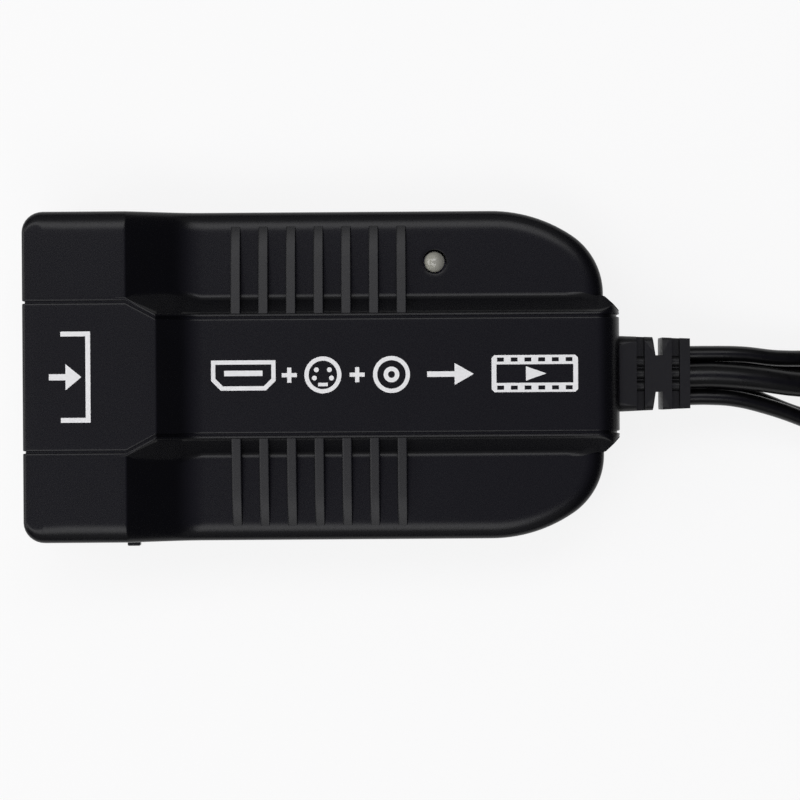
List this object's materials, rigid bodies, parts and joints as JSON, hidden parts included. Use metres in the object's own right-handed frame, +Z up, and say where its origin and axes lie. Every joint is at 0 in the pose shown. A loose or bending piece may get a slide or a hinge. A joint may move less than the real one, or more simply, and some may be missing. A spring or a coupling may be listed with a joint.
{
  "type": "video capture box",
  "caption": "Low black video capture box: raised input block, ramp, central spine, ribbed wings, side button, round status light, and a slotted strain relief with a fan of short leads.",
  "frame": {"origin": "middle of the housing footprint on the underside", "axes": "+X towards the lead end, +Z up, +Y towards the long side with the status light"},
  "size_m": [0.2795, 0.0516, 0.02],
  "materials": {
    "housing_abs": "satin, fine moulded grain",
    "screw_steel": "zinc plated",
    "board_laminate": "solder mask",
    "chip_epoxy": "moulded",
    "tinned_metal": "tinned",
    "can_metal": "drawn",
    "nickel_sheet": "nickel plated",
    "gold_contact": "gold plated",
    "lamp_epoxy": "clear",
    "relief_pvc": "soft moulded",
    "lead_pvc": "extruded",
    "grip_pvc": "moulded",
    "white_plastic": "moulded",
    "yellow_plastic": "moulded",
    "red_plastic": "moulded"
  },
  "bodies": {
    "case": {"top_shell": "housing_abs", "bottom_shell": "housing_abs", "case_screws": "screw_steel", "switch_cover": "screw_steel", "main_board": "board_laminate", "capture_chip": "chip_epoxy", "decoder_chip": "chip_epoxy", "memory_chip": "chip_epoxy", "voltage_regulator": "chip_epoxy", "supply_coil": "chip_epoxy", "switch_body": "chip_epoxy", "hd_socket_tongue": "chip_epoxy", "svideo_insert": "chip_epoxy", "chip_legs": "tinned_metal", "led_legs": "tinned_metal", "lead_joints": "tinned_metal", "crystal_can": "can_metal", "filter_capacitors": "can_metal", "hd_socket_shell": "nickel_sheet", "data_plug_shell": "nickel_sheet", "svideo_shield": "nickel_sheet", "video_barrel": "nickel_sheet", "left_audio_barrel": "nickel_sheet", "right_audio_barrel": "nickel_sheet", "hd_socket_contacts": "gold_contact", "data_plug_contacts": "gold_contact", "led_lens": "lamp_epoxy", "strain_relief": "relief_pvc", "lead_ends": "lead_pvc", "data_lead": "lead_pvc", "svideo_lead": "lead_pvc", "video_lead": "lead_pvc", "left_audio_lead": "lead_pvc", "right_audio_lead": "lead_pvc", "data_plug_grip": "grip_pvc", "svideo_grip": "grip_pvc", "video_grip": "grip_pvc", "left_audio_grip": "grip_pvc", "right_audio_grip": "grip_pvc", "data_plug_tongue": "white_plastic", "left_audio_insert": "white_plastic", "video_insert": "yellow_plastic", "right_audio_insert": "red_plastic"},
    "button": {"source_button": "housing_abs", "switch_plunger": "chip_epoxy"}
  },
  "joints": [
    {"name": "button_press", "type": "slide", "parent": "case", "child": "button", "axis": [0, 1, 0], "range_m": [0, 0.00035], "stiffness_N_per_m": 3000}
  ]
}
